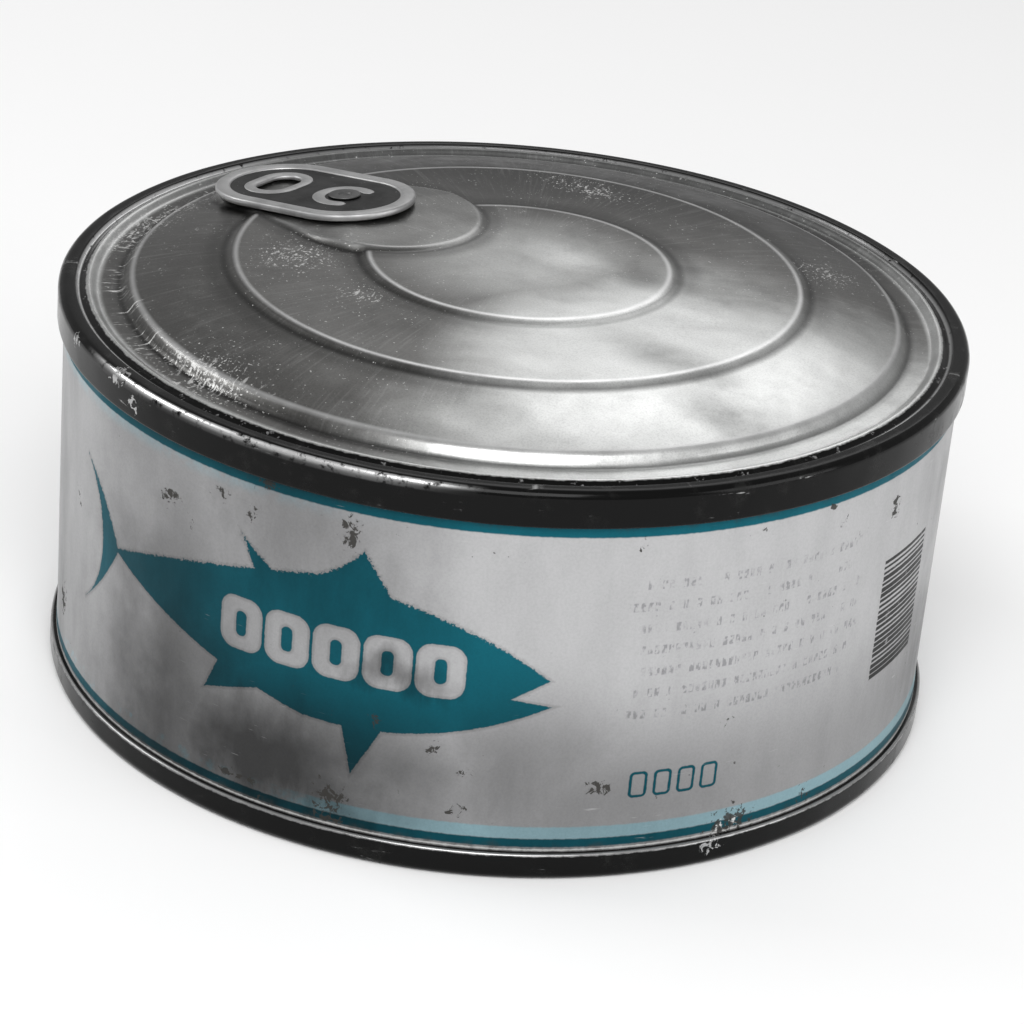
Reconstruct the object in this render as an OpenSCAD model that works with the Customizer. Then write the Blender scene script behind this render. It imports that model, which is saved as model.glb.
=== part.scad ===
// Sealed round can of tuna with a ring-pull end that has bowed outwards.
// Millimetres, +Z up. The origin is on the can's axis, at the level of the table.
// The pull tab lies on the -X side of the top end, and -Y is the front of the print.

/* [Can] */
// Diameter over the two double seams
can_d = 103; // [80:1:160]
// Height from the table to the crest of the top seam
can_h = 45.4; // [30:0.1:120]
// How far each seam stands out from the wall
seam_step = 0.7; // [0.3:0.05:1.2]
// Thickness of the pressed end sheets
end_t = 0.8; // [0.6:0.05:1.2]

/* [Top seam] */
// Height of the top seam, down the wall
top_seam_h = 4.05; // [3:0.05:6]
// Width of the seam's lacquered crown, along the radius
top_seam_w = 2.3; // [1.8:0.05:3]
// Radius of the seam's rounded edges
seam_round = 0.9; // [0.4:0.05:1]
// Depth of the valley between the seam and the bead inside it
valley_depth = 0.45; // [0.2:0.05:0.8]
// Width of the bead inside the seam
bead_w = 2.2; // [1.4:0.1:3]

/* [Bottom end] */
// Height of the bottom seam, up the wall
bottom_seam_h = 3.15; // [2.5:0.05:6]
// Width of the bottom seam, which is the ring that the can stands on
bottom_seam_w = 2.1; // [1.8:0.05:3]
// Height of the bottom panel's groove above the table
bottom_recess = 2.8; // [1.5:0.1:5]
// Depth of the groove and of the two pressed rings in the bottom panel
bottom_ring_h = 0.6; // [0.3:0.05:1]
// Distance from the bottom panel's edge in to its larger ring
bottom_outer_ring_in = 10.1; // [6:0.1:12]
// Distance from the larger ring in to the smaller ring
bottom_ring_pitch = 15; // [8:0.5:16]

/* [Top panel] */
// Depth of the groove round the panel, below the top seam's crest
groove_depth = 0.6; // [0.3:0.05:1]
// Width of the groove round the panel
groove_w = 2.5; // [1.5:0.1:4]
// Height of the step at the groove's inner side
outer_ring_h = 1.3; // [0.6:0.05:2]
// Distance from the outer ring in to the foot of the middle ring's step
outer_slope_w = 10.4; // [7:0.1:12]
// Height of the middle ring's step
middle_ring_h = 0.55; // [0.3:0.05:1]
// Distance from the middle ring in to the foot of the inner ring's step
middle_slope_w = 13.9; // [10:0.1:16]
// Height of the inner ring's step
inner_ring_h = 0.42; // [0.2:0.02:0.8]
// Width of each ring's step, along the radius
ring_step_w = 1; // [0.6:0.1:1.5]
// Rise of the bowed panel from the outer ring to the middle ring
outer_bow = 2.3; // [1:0.1:4]
// Rise of the bowed panel from the middle ring to the inner ring
middle_bow = 0.35; // [0.1:0.05:1]
// Rise of the disc inside the inner ring
centre_bow = 0.22; // [0.1:0.02:0.6]

/* [Tab pad] */
// Distance from the pad's outer tip out to the outer ring
pad_edge_gap = 1.5; // [1:0.1:3]
// Radius of the pad's narrow end
pad_tail_end_r = 7; // [5:0.1:8]
// Distance between the middles of the pad's two ends
pad_l = 16; // [13:0.1:18]
// Radius of the pad's round end
pad_end_r = 11.3; // [9:0.1:12]
// How far the pad stands above the middle of the panel
pad_rise = 0.2; // [0.1:0.02:0.4]

/* [Tab] */
// Length of the tab
tab_l = 25.4; // [20:0.1:30]
// Width of the tab
tab_w = 16.2; // [13:0.1:20]
// Thickness of the tab's curled rim
tab_t = 1.1; // [0.9:0.05:1.5]
// Width of the tab's curled rim
tab_rim_w = 1.8; // [1.4:0.1:2.4]
// Thickness of the web inside the rim
tab_web_t = 0.45; // [0.3:0.05:0.7]
// Distance from the tab's outer end out to the outer ring
tab_edge_gap = 1.6; // [1.2:0.1:4]
// Slope of the tab and of the pad under it, down towards the rim
tab_tilt = 6.4; // [4:0.1:9]
// Gap between the tab and the pad
tab_gap = 0.08; // [0.05:0.01:0.3]

/* [Finger ring] */
// Length of the finger hole, across the tab
hole_l = 6.2; // [5:0.1:8]
// Width of the finger hole, along the tab
hole_w = 3.8; // [3:0.1:5]
// Width of the curled band round the finger hole
hole_band_w = 1.5; // [1:0.1:1.8]
// Distance of the finger hole's middle from the tab's middle
hole_offset = 5.4; // [4.5:0.1:6]

/* [Rivet] */
// Distance of the rivet from the tab's middle, towards the can's axis
rivet_offset = 4.4; // [4:0.1:6]
// Radius of the rivet's shank
rivet_r = 1.4; // [1:0.1:1.8]
// Radius of the rivet's head
rivet_head_r = 1.9; // [1.4:0.1:2.2]
// Gap between the shank and the hole in the tab
rivet_gap = 0.1; // [0.05:0.01:0.2]
// Radius inside the C-shaped tongue round the rivet
tongue_in_r = 2.2; // [1.8:0.1:2.4]
// Width of the C-shaped tongue
tongue_w = 1.7; // [1:0.1:2]
// Angle of the tongue's open side
tongue_gap_angle = 100; // [60:5:140]

/* [Hidden] */
$fn = 96;
SEAM_R = can_d / 2;
WALL_R = SEAM_R - seam_step;
CURL_R = 0.3;            // edge of each seam that is curled against the wall
FOOT_ROUND = 0.55;       // inner edges of both seams
CHUCK_SLOPE_W = 0.8;     // how far the bottom's inner wall leans inwards
ARC_STEPS = 6;           // pieces of a quarter turn
STEP_STEPS = 8;          // pieces of one pressed step
BOW_STEPS = 6;           // pieces of one bowed stretch
BOW_SHAPE = 0.35;        // how much a bowed stretch is rounder than a straight slope
FILL_TOP = 2;            // how far solids that are trimmed later reach past the panel

// top end, from the seam inwards
SEAM_IN_R = SEAM_R - top_seam_w;
BEAD_R = SEAM_IN_R - bead_w / 2;
GROOVE_OUT_R = SEAM_IN_R - bead_w;
GROOVE_IN_R = GROOVE_OUT_R - groove_w;
OUTER_RING_R = GROOVE_IN_R - ring_step_w;
MIDDLE_FOOT_R = OUTER_RING_R - outer_slope_w;
MIDDLE_RING_R = MIDDLE_FOOT_R - ring_step_w;
INNER_FOOT_R = MIDDLE_RING_R - middle_slope_w;
INNER_RING_R = INNER_FOOT_R - ring_step_w;
GROOVE_Z = can_h - groove_depth;
OUTER_Z = GROOVE_Z + outer_ring_h;
MIDDLE_FOOT_Z = OUTER_Z + outer_bow;
MIDDLE_Z = MIDDLE_FOOT_Z + middle_ring_h;
INNER_FOOT_Z = MIDDLE_Z + middle_bow;
INNER_Z = INNER_FOOT_Z + inner_ring_h;
CENTRE_Z = INNER_Z + centre_bow;

// pad: level near the can's axis, then sloping down under the tab
TAB_R = OUTER_RING_R - tab_edge_gap - tab_l / 2;
PAD_Z = CENTRE_Z + pad_rise;
PAD_BEND_R = INNER_FOOT_R + 2;
PAD_TIP_R = OUTER_RING_R - pad_edge_gap;
PAD_TAIL_R = PAD_TIP_R - pad_tail_end_r;
PAD_R = PAD_TAIL_R - pad_l;
PAD_TIP_Z = PAD_Z - (PAD_TIP_R - PAD_BEND_R) * tan(tab_tilt);
PAD_UNDER_TAB_Z = PAD_Z - (TAB_R - PAD_BEND_R) * tan(tab_tilt);
PAD_SINK = 0.85 * end_t; // how deep the pad's own solid reaches into the sheet

// bottom end, from the foot inwards
FOOT_IN_R = SEAM_R - bottom_seam_w;
CHUCK_R = FOOT_IN_R - CHUCK_SLOPE_W;
BOTTOM_PANEL_R = CHUCK_R - groove_w;
BOTTOM_OUTER_RING_R = BOTTOM_PANEL_R - bottom_outer_ring_in;
BOTTOM_INNER_RING_R = BOTTOM_OUTER_RING_R - bottom_ring_pitch;

// tab, in its own frame: underside at 0, +X towards the rim
TAB_Z = PAD_UNDER_TAB_Z + tab_gap / cos(tab_tilt);
TAB_END_R = tab_w / 2;
TAB_SIDE_L = tab_l - tab_w;
RIM_ROUND = tab_t * 0.45;
WEB_Z = (tab_t - tab_web_t) / 2;
WEB_TOP_Z = WEB_Z + tab_web_t;
BAND_Z = 0.1;            // underside of the finger ring and of the tongue
BAND_T = tab_t - 2 * BAND_Z;
HEAD_Z = WEB_TOP_Z + tab_gap;
HEAD_T = 0.4;
DIMPLE_R = rivet_head_r / 2;
DIMPLE_DEPTH = 0.25;
SHANK_DEPTH = tab_gap + end_t / 2;

// Points of a circular arc.
function arc(cx, cy, r, from, to, steps = ARC_STEPS) = [
    for (i = [0:steps])
        let (a = from + (to - from) * i / steps)
        [cx + r * cos(a), cy + r * sin(a)]
];

// Points of a pressed step: an S that starts and ends level.
function s_step(x0, z0, x1, z1, steps = STEP_STEPS) = [
    for (i = [0:steps])
        let (t = i / steps)
        [x0 + (x1 - x0) * t, z0 + (z1 - z0) * (1 - cos(180 * t)) / 2]
];

// Points between the ends of a bowed stretch, which flattens towards its inner end.
function bow(x0, z0, x1, z1, steps = BOW_STEPS) = [
    for (i = [1:steps - 1])
        let (t = i / steps)
        [x0 + (x1 - x0) * t, z0 + (z1 - z0) * (t + t * (1 - t) * BOW_SHAPE)]
];

// Points of a pressed ring: a low ridge with an S on each side.
function ridge(r, low, high) = concat(
    s_step(r + ring_step_w, low, r, high),
    s_step(r, high, r - ring_step_w, low)
);

// A point list without points that repeat the one before.
function tidy(list) = [
    for (i = [0:len(list) - 1])
        if (i == 0 || norm(list[i] - list[i - 1]) > 0.0001) list[i]
];

function reverse(list) = [for (i = [len(list) - 1:-1:0]) list[i]];

function raised(list, height) = [for (p = list) [p[0], p[1] + height]];

// Upper face of the bowed panel, from the groove's inner side to the axis.
function top_panel() = tidy(concat(
    s_step(GROOVE_IN_R, GROOVE_Z, OUTER_RING_R, OUTER_Z),
    bow(OUTER_RING_R, OUTER_Z, MIDDLE_FOOT_R, MIDDLE_FOOT_Z),
    s_step(MIDDLE_FOOT_R, MIDDLE_FOOT_Z, MIDDLE_RING_R, MIDDLE_Z),
    bow(MIDDLE_RING_R, MIDDLE_Z, INNER_FOOT_R, INNER_FOOT_Z),
    s_step(INNER_FOOT_R, INNER_FOOT_Z, INNER_RING_R, INNER_Z),
    bow(INNER_RING_R, INNER_Z, 0, CENTRE_Z),
    [[0, CENTRE_Z]]
));

// Seam, valley and bead, from the wall's outside to the groove.
function top_seam() = concat(
    [[WALL_R, can_h - top_seam_h]],
    arc(SEAM_R - CURL_R, can_h - top_seam_h + CURL_R, CURL_R, -90, 0),
    arc(SEAM_R - seam_round, can_h - seam_round, seam_round, 0, 90),
    s_step(SEAM_IN_R + FOOT_ROUND, can_h, SEAM_IN_R, can_h - valley_depth),
    s_step(SEAM_IN_R, can_h - valley_depth, BEAD_R, can_h),
    s_step(BEAD_R, can_h, GROOVE_OUT_R, GROOVE_Z)
);

// Lower face of the bottom panel, from the groove's outer side to the axis.
function bottom_panel() = let (low = bottom_recess - bottom_ring_h) tidy(concat(
    s_step(BOTTOM_PANEL_R, bottom_recess, BOTTOM_PANEL_R - ring_step_w, low),
    ridge(BOTTOM_OUTER_RING_R, low, bottom_recess),
    ridge(BOTTOM_INNER_RING_R, low, bottom_recess),
    [[0, low]]
));

// Outline of the pad: two round ends joined by their tangents, lying along -X.
function pad_outline() = let (
    lean = asin((pad_end_r - pad_tail_end_r) / pad_l)
) concat(
    arc(-PAD_R, 0, pad_end_r, lean - 90, 90 - lean, 4 * ARC_STEPS),
    arc(-PAD_TAIL_R, 0, pad_tail_end_r, 90 - lean, 270 + lean, 3 * ARC_STEPS)
);

// Cross-section of the tab's curled rim, centred over X = 0.
function rim_section() = let (x = tab_rim_w / 2 - RIM_ROUND, z = tab_t - RIM_ROUND) concat(
    arc(x, RIM_ROUND, RIM_ROUND, -90, 0, 4),
    arc(x, z, RIM_ROUND, 0, 90, 4),
    arc(-x, z, RIM_ROUND, 90, 180, 4),
    arc(-x, RIM_ROUND, RIM_ROUND, 180, 270, 4)
);

// The printed wall with the sealed contents, filled up to both end sheets.
module body() {
    color("lightgray") rotate_extrude() polygon(concat(
        [[WALL_R, bottom_recess + end_t], [WALL_R, GROOVE_Z - end_t]],
        raised(top_panel(), -end_t),
        reverse(raised(bottom_panel(), end_t))
    ));
}

// The top sheet before its pad is pressed: seam, bead, groove and bowed rings.
module top_sheet() {
    rotate_extrude() polygon(tidy(concat(
        top_seam(),
        top_panel(),
        reverse(raised(top_panel(), -end_t)),
        [[WALL_R, GROOVE_Z - end_t]]
    )));
}

// Upright column with the pad's outline.
module pad_column() {
    linear_extrude(CENTRE_Z + FILL_TOP) polygon(pad_outline());
}

// Everything under the pad's face.
module under_pad_face() {
    rotate_extrude() polygon([
        [0, -1], [SEAM_R, -1], [SEAM_R, PAD_TIP_Z], [PAD_TIP_R, PAD_TIP_Z], [PAD_BEND_R, PAD_Z], [0, PAD_Z]
    ]);
}

// Metal over the sheet that the pad is pressed from.
module pad_fill() {
    intersection() {
        pad_column();
        rotate_extrude() polygon(concat(
            raised(top_panel(), -PAD_SINK),
            [[0, CENTRE_Z + FILL_TOP / 2], [GROOVE_IN_R, CENTRE_Z + FILL_TOP / 2]]
        ));
    }
}

// Puts its children on the pad, with +X towards the rim and the tab's underside at 0.
module on_pad() {
    translate([-TAB_R, 0, TAB_Z]) rotate([0, -tab_tilt, 0]) rotate([0, 0, 180]) children();
}

module rivet() {
    translate([-rivet_offset, 0, 0]) difference() {
        union() {
            translate([0, 0, -SHANK_DEPTH]) cylinder(r = rivet_r, h = SHANK_DEPTH + HEAD_Z + HEAD_T / 2);
            translate([0, 0, HEAD_Z]) cylinder(r = rivet_head_r, h = HEAD_T);
        }
        translate([0, 0, HEAD_Z + HEAD_T - DIMPLE_DEPTH]) cylinder(r = DIMPLE_R, h = HEAD_T);
    }
}

// The ring-pull end: one sheet from the seam to the rivet.
module top_end() {
    color("silver") union() {
        difference() {
            union() {
                top_sheet();
                pad_fill();
            }
            difference() {
                pad_column();
                under_pad_face();
            }
        }
        on_pad() rivet();
    }
}

// Upright slot-shaped solid: two round ends of radius r, their centres l apart along X.
module slot_solid(r, l, low, high) {
    for (side = [-1, 1]) translate([side * l / 2, 0, low]) cylinder(r = r, h = high - low);
    translate([-l / 2, -r, low]) cube([l, 2 * r, high - low]);
}

module tab_rim() {
    for (turn = [0, 180]) rotate([0, 0, turn]) {
        translate([TAB_SIDE_L / 2, 0, 0]) rotate([0, 0, -90]) rotate_extrude(angle = 180)
            translate([TAB_END_R - tab_rim_w / 2, 0]) polygon(rim_section());
        translate([-TAB_SIDE_L / 2, TAB_END_R - tab_rim_w / 2, 0]) rotate([90, 0, 90])
            linear_extrude(TAB_SIDE_L) polygon(rim_section());
    }
}

module tongue() {
    reach = tongue_in_r + tongue_w;
    half_gap = tongue_gap_angle / 2;
    difference() {
        cylinder(r = reach, h = BAND_T);
        translate([0, 0, -1]) cylinder(r = tongue_in_r, h = BAND_T + 2);
        translate([0, 0, -1]) linear_extrude(BAND_T + 2) polygon([
            [0, 0], 2 * reach * [-cos(half_gap), sin(half_gap)], 2 * reach * [-cos(half_gap), -sin(half_gap)]
        ]);
    }
}

// The pull tab: curled rim, thin web, finger ring and the tongue round the rivet.
module tab() {
    hole_side = hole_l - hole_w;
    color("gainsboro") on_pad() difference() {
        union() {
            tab_rim();
            slot_solid(TAB_END_R - tab_rim_w / 2, TAB_SIDE_L, WEB_Z, WEB_TOP_Z);
            translate([hole_offset, 0, 0]) rotate([0, 0, 90])
                slot_solid(hole_w / 2 + hole_band_w, hole_side, BAND_Z, BAND_Z + BAND_T);
            translate([-rivet_offset, 0, BAND_Z]) tongue();
        }
        translate([hole_offset, 0, 0]) rotate([0, 0, 90])
            slot_solid(hole_w / 2, hole_side, -1, tab_t + 1);
        translate([-rivet_offset, 0, -1]) cylinder(r = rivet_r + rivet_gap, h = tab_t + 2);
    }
}

// The plain end that the can stands on: seam, inner wall, groove and two pressed rings.
module bottom_end() {
    color("dimgray") rotate_extrude() polygon(tidy(concat(
        [[WALL_R, bottom_recess + end_t], [WALL_R, bottom_seam_h]],
        arc(SEAM_R - CURL_R, bottom_seam_h - CURL_R, CURL_R, 90, 0),
        arc(SEAM_R - seam_round, seam_round, seam_round, 0, -90),
        arc(FOOT_IN_R + FOOT_ROUND, FOOT_ROUND, FOOT_ROUND, -90, -180),
        [[CHUCK_R, bottom_recess]],
        bottom_panel(),
        reverse(raised(bottom_panel(), end_t))
    )));
}

body();
top_end();
tab();
bottom_end();
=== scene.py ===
"""Looks of a shut, worn, round food can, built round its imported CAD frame.

The file is laid out as a Blender add-on and is run as a script. Each operator makes one piece,
or the stage. Meshes are in metres; the shader expressions work in millimetres.
"""

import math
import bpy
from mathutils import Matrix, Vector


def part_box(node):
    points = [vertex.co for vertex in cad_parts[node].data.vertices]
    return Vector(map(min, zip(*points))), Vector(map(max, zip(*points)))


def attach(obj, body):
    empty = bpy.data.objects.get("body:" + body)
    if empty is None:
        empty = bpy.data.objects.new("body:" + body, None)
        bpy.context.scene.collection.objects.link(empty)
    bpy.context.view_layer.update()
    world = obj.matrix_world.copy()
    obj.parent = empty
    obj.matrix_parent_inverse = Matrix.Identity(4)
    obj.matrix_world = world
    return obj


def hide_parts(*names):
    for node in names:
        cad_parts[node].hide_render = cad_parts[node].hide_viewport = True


bl_info = {
    "name": "Worn food can",
    "version": (1, 0, 0),
    "blender": (4, 5, 0),
    "location": "3D view > Sidebar > Food can",
    "description": "Builds a shut round food can with a pull tab and a worn plain print",
    "category": "Object",
}

import bpy
import numpy as np
from bpy.props import FloatProperty, FloatVectorProperty, PointerProperty
from bpy.types import Operator, Panel, PropertyGroup
from mathutils import Matrix, Vector

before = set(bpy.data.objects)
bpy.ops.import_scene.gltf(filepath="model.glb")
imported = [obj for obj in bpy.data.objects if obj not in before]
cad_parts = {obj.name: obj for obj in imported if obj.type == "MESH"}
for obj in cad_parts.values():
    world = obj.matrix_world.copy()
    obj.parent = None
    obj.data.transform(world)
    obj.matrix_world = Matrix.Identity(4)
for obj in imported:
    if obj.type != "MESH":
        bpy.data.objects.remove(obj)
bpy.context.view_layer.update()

MM = 0.001
WALL_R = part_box("body")[1].x
SEAM_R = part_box("top_end")[1].x
SEAM_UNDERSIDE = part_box("top_end")[0].z
TURN_STEPS = 480
WALL_DENTS = 0.12 * MM
SEAM_DENTS = 0.09 * MM


# ---------------------------------------------------------------- sizes and colours

def length(name, description, millimetres):
    return FloatProperty(
        name=name, description=description, default=millimetres * MM, unit="LENGTH", precision=5
    )


def angle(name, description, degrees):
    return FloatProperty(
        name=name, description=description, default=math.radians(degrees), subtype="ANGLE"
    )


def colour(name, description, default):
    return FloatVectorProperty(
        name=name, description=description, default=default, subtype="COLOR", min=0, max=1
    )


class CanEndSizes(PropertyGroup):
    """Sizes of the two pressed ends, along the radius or in height."""

    crest: length("Crest", "Height of the top seam's crest above the table", 45.4)
    seam_width: length("Seam width", "Width of the top seam's crown", 2.3)
    seam_round: length("Seam round", "Radius of the seams' outer edges", 0.9)
    curl: length("Curl", "Radius of the seam edges that are curled against the wall", 0.3)
    inner_round: length("Inner round", "Radius of the seams' inner edges", 0.55)
    valley_depth: length("Valley depth", "Depth of the valley between seam and bead", 0.45)
    bead_width: length("Bead width", "Width of the bead inside the seam", 2.2)
    groove_depth: length("Groove depth", "Depth of the groove below the crest", 0.6)
    groove_width: length("Groove width", "Width of the groove round the panel", 2.5)
    step_width: length("Step width", "Width of each pressed step", 1.0)
    outer_step: length("Outer step", "Height of the step inside the groove", 1.3)
    outer_slope: length("Outer slope", "Width of the bowed stretch inside the outer step", 10.4)
    outer_rise: length("Outer rise", "Height of the bowed stretch inside the outer step", 2.3)
    middle_step: length("Middle step", "Height of the middle ring's step", 0.55)
    middle_slope: length("Middle slope", "Width of the stretch inside the middle ring", 13.9)
    middle_rise: length("Middle rise", "Height of the stretch inside the middle ring", 0.35)
    inner_step: length("Inner step", "Height of the inner ring's step", 0.42)
    centre_rise: length("Centre rise", "Height of the bow inside the inner ring", 0.22)
    base_seam_height: length("Base seam height", "Height of the bottom seam", 3.15)
    base_seam_width: length("Base seam width", "Width of the ring that the can stands on", 2.1)
    base_lean: length("Base lean", "How far the bottom's inner wall leans inwards", 0.8)
    base_recess: length("Base recess", "Height of the bottom panel's groove", 2.8)
    base_ring: length("Base ring", "Depth of the bottom panel's groove and rings", 0.6)
    base_outer_in: length("Base outer ring", "From the bottom panel's edge to its outer ring", 10.1)
    base_pitch: length("Base ring pitch", "From the bottom's outer ring to its inner ring", 15.0)


class CanTabSizes(PropertyGroup):
    """Sizes of the pull tab, its rivet and the pad under it."""

    tilt: angle("Tilt", "Slope of the tab and its pad", 6.4)
    length: length("Length", "Length of the tab", 25.4)
    width: length("Width", "Width of the tab", 16.2)
    thickness: length("Thickness", "Thickness of the curled rim", 0.92)
    rim_width: length("Rim width", "Width of the curled rim", 1.8)
    web: length("Web", "Thickness of the web inside the rim", 0.45)
    edge_gap: length("Edge gap", "From the tab's outer end to the outer ring", 1.6)
    gap: length("Gap", "Gap between the tab and the pad", 0.08)
    hole_length: length("Hole length", "Length of the finger hole, across the tab", 6.2)
    hole_width: length("Hole width", "Width of the finger hole, along the tab", 3.8)
    hole_offset: length("Hole offset", "From the tab's middle to the finger hole", 5.4)
    band_width: length("Band width", "Width of the band round the finger hole", 1.5)
    band_low: length("Band underside", "Height of the band's underside in the tab", 0.1)
    rivet_offset: length("Rivet offset", "From the tab's middle to the rivet", 4.4)
    rivet_head: length("Rivet head", "Radius of the rivet's head", 1.9)
    rivet_shank: length("Rivet shank", "Radius of the rivet's shank", 1.4)
    head_height: length("Head height", "Height of the rivet's head", 0.24)
    tongue_inner: length("Tongue inner", "Radius inside the tongue", 2.2)
    tongue_width: length("Tongue width", "Width of the tongue", 1.7)
    tongue_gap: angle("Tongue gap", "Angle of the tongue's open side", 100)
    pad_rise: length("Pad rise", "Height of the pad above the middle of the panel", 0.2)
    pad_edge_gap: length("Pad edge gap", "From the pad's outer tip to the outer ring", 1.5)
    pad_tail: length("Pad tail", "Radius of the pad's narrow end", 7.0)
    pad_round: length("Pad round end", "Radius of the pad's round end", 11.3)
    pad_length: length("Pad length", "Distance between the middles of the pad's ends", 16.0)
    pad_bend: length("Pad bend", "From the inner ring's foot to where the pad starts to slope", 2.0)


class CanColours(PropertyGroup):
    """Paint and metal colours."""

    label: colour("Label", "Pale grey ground of the print", (0.43, 0.43, 0.435))
    teal: colour("Teal", "Teal of the fish and the lines", (0.004, 0.1, 0.135))
    pale_teal: colour("Pale teal", "Light band over the lower teal line", (0.33, 0.55, 0.62))
    ink: colour("Ink", "Dark grey of the printed bars", (0.03, 0.03, 0.03))
    grime: colour("Grime", "Dark dirt on the print", (0.035, 0.033, 0.03))
    lacquer: colour("Lacquer", "Black lacquer of the seams", (0.003, 0.003, 0.003))
    # tinplate is also the tone of the painted reflection and painted light on the top end
    tinplate: colour("Tinplate", "Clean metal of the ends", (0.9, 0.91, 0.9))
    tarnish: colour("Tarnish", "Dull metal of the ends", (0.155, 0.153, 0.148))
    tab_metal: colour("Tab metal", "Metal of the pull tab", (0.5, 0.5, 0.5))


class CanStage(PropertyGroup):
    """Camera, lights and floor."""

    camera_place: FloatVectorProperty(
        name="Camera place", description="Where the camera stands", default=(0.1884, -0.2901, 0.1853),
        subtype="TRANSLATION", unit="LENGTH",
    )
    camera_turn: FloatVectorProperty(
        name="Camera turn", description="Tilt, roll and heading of the camera",
        default=(math.radians(64.21), math.radians(5.12), math.radians(32.72)), subtype="EULER",
    )
    lens: FloatProperty(
        name="Lens", description="Focal length", default=115.56, subtype="DISTANCE_CAMERA"
    )
    floor_size: length("Floor size", "Side of the square floor", 6000)
    world: FloatProperty(
        name="World", description="Brightness of the studio's surroundings", default=0.37,
        min=0, max=1, subtype="FACTOR",
    )


# ---------------------------------------------------------------- shader expressions

class Signal:
    """A socket that stands in Python arithmetic: each operation adds a Math node."""

    def __init__(self, finish, socket):
        self.finish = finish
        self.socket = socket

    def maths(self, operation, *values):
        return self.finish.node("ShaderNodeMath", {"operation": operation}, dict(enumerate(values)))

    def __add__(self, other):
        return self.maths("ADD", self, other)

    __radd__ = __add__

    def __sub__(self, other):
        return self.maths("SUBTRACT", self, other)

    def __rsub__(self, other):
        return self.maths("SUBTRACT", other, self)

    def __mul__(self, other):
        return self.maths("MULTIPLY", self, other)

    __rmul__ = __mul__

    def __truediv__(self, other):
        return self.maths("DIVIDE", self, other)

    def __neg__(self):
        return self.maths("MULTIPLY", self, -1)

    def __abs__(self):
        return self.maths("ABSOLUTE", self)

    def power(self, exponent):
        return self.maths("POWER", self, exponent)

    def whole(self):
        return self.maths("FLOOR", self)

    def part(self):
        return self.maths("FRACT", self)


def least(*signals):
    result = signals[0]
    for signal in signals[1:]:
        result = result.maths("MINIMUM", result, signal)
    return result


def most(*signals):
    result = signals[0]
    for signal in signals[1:]:
        result = result.maths("MAXIMUM", result, signal)
    return result


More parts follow.
